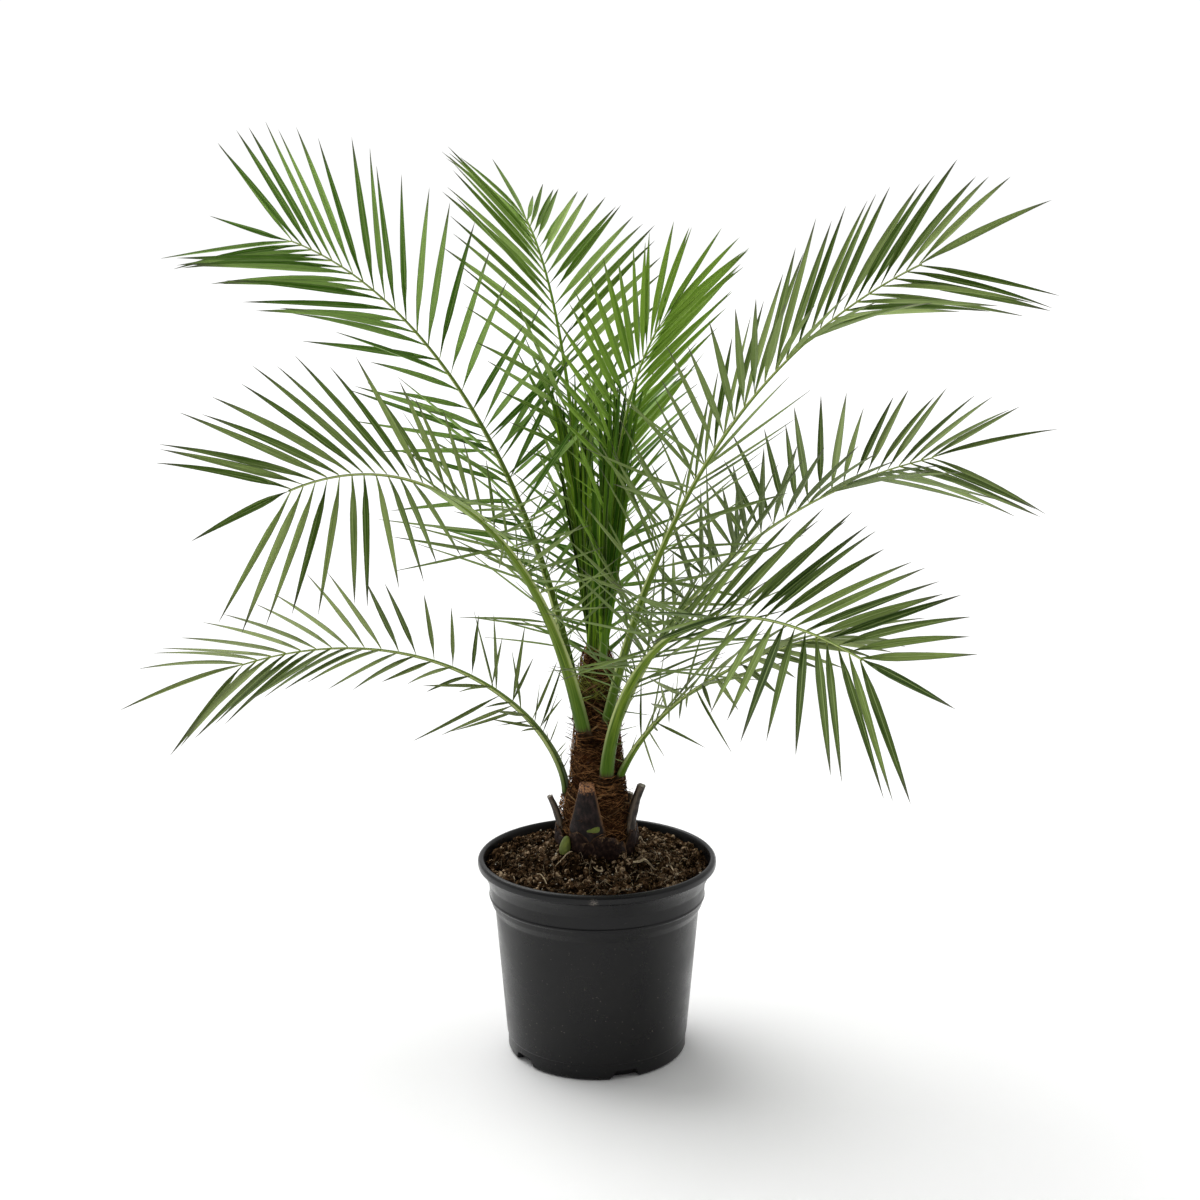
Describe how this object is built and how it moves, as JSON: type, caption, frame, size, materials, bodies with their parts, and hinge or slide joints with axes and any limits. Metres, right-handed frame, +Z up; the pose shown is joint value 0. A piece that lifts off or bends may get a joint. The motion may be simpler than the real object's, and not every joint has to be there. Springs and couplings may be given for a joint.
{
  "type": "potted canary island date palm",
  "caption": "Young Canary Island date palm with arching feather fronds, a short fibrous trunk and cut leaf bases, in a round black nursery pot",
  "frame": {"origin": "middle of the pot's flat underside, the surface it stands on", "axes": "+Z up along the trunk, +X to the right in the picture, +Y away from the camera"},
  "size_m": [0.9483, 0.997, 0.936],
  "materials": {
    "pot": "black moulded polypropylene with a soft satin sheen and a little dust",
    "compost": "rough dark peat and bark compost with pale grains and root bits",
    "trunk": "reddish-brown mat of dry criss-crossed leaf fibre",
    "leaf_base": "dull purple-brown sheath with a cut orange-brown end",
    "frond": "leathery dark green leaflets with paler midribs and dry needle tips",
    "young_leaf": "smooth bright green young leaflets"
  },
  "bodies": {
    "root": {"pot": "pot", "soil": "compost", "trunk": "trunk", "spear": "young_leaf", "boot_left": "leaf_base", "boot_front": "leaf_base", "boot_right": "leaf_base", "boot_back_right": "leaf_base", "boot_back": "leaf_base", "boot_back_left": "leaf_base", "frond_upper_left_stalk": "frond", "frond_upper_left_blade": "frond", "frond_mid_left_stalk": "frond", "frond_mid_left_blade": "frond", "frond_lower_left_stalk": "frond", "frond_lower_left_blade": "frond", "frond_top_left_stalk": "young_leaf", "frond_top_left_blade": "young_leaf", "frond_top_right_stalk": "young_leaf", "frond_top_right_blade": "young_leaf", "frond_upper_right_stalk": "frond", "frond_upper_right_blade": "frond", "frond_mid_right_stalk": "frond", "frond_mid_right_blade": "frond", "frond_lower_right_stalk": "frond", "frond_lower_right_blade": "frond", "frond_low_right_stalk": "frond", "frond_low_right_blade": "frond", "frond_back_stalk": "frond", "frond_back_blade": "frond"}
  },
  "joints": []
}
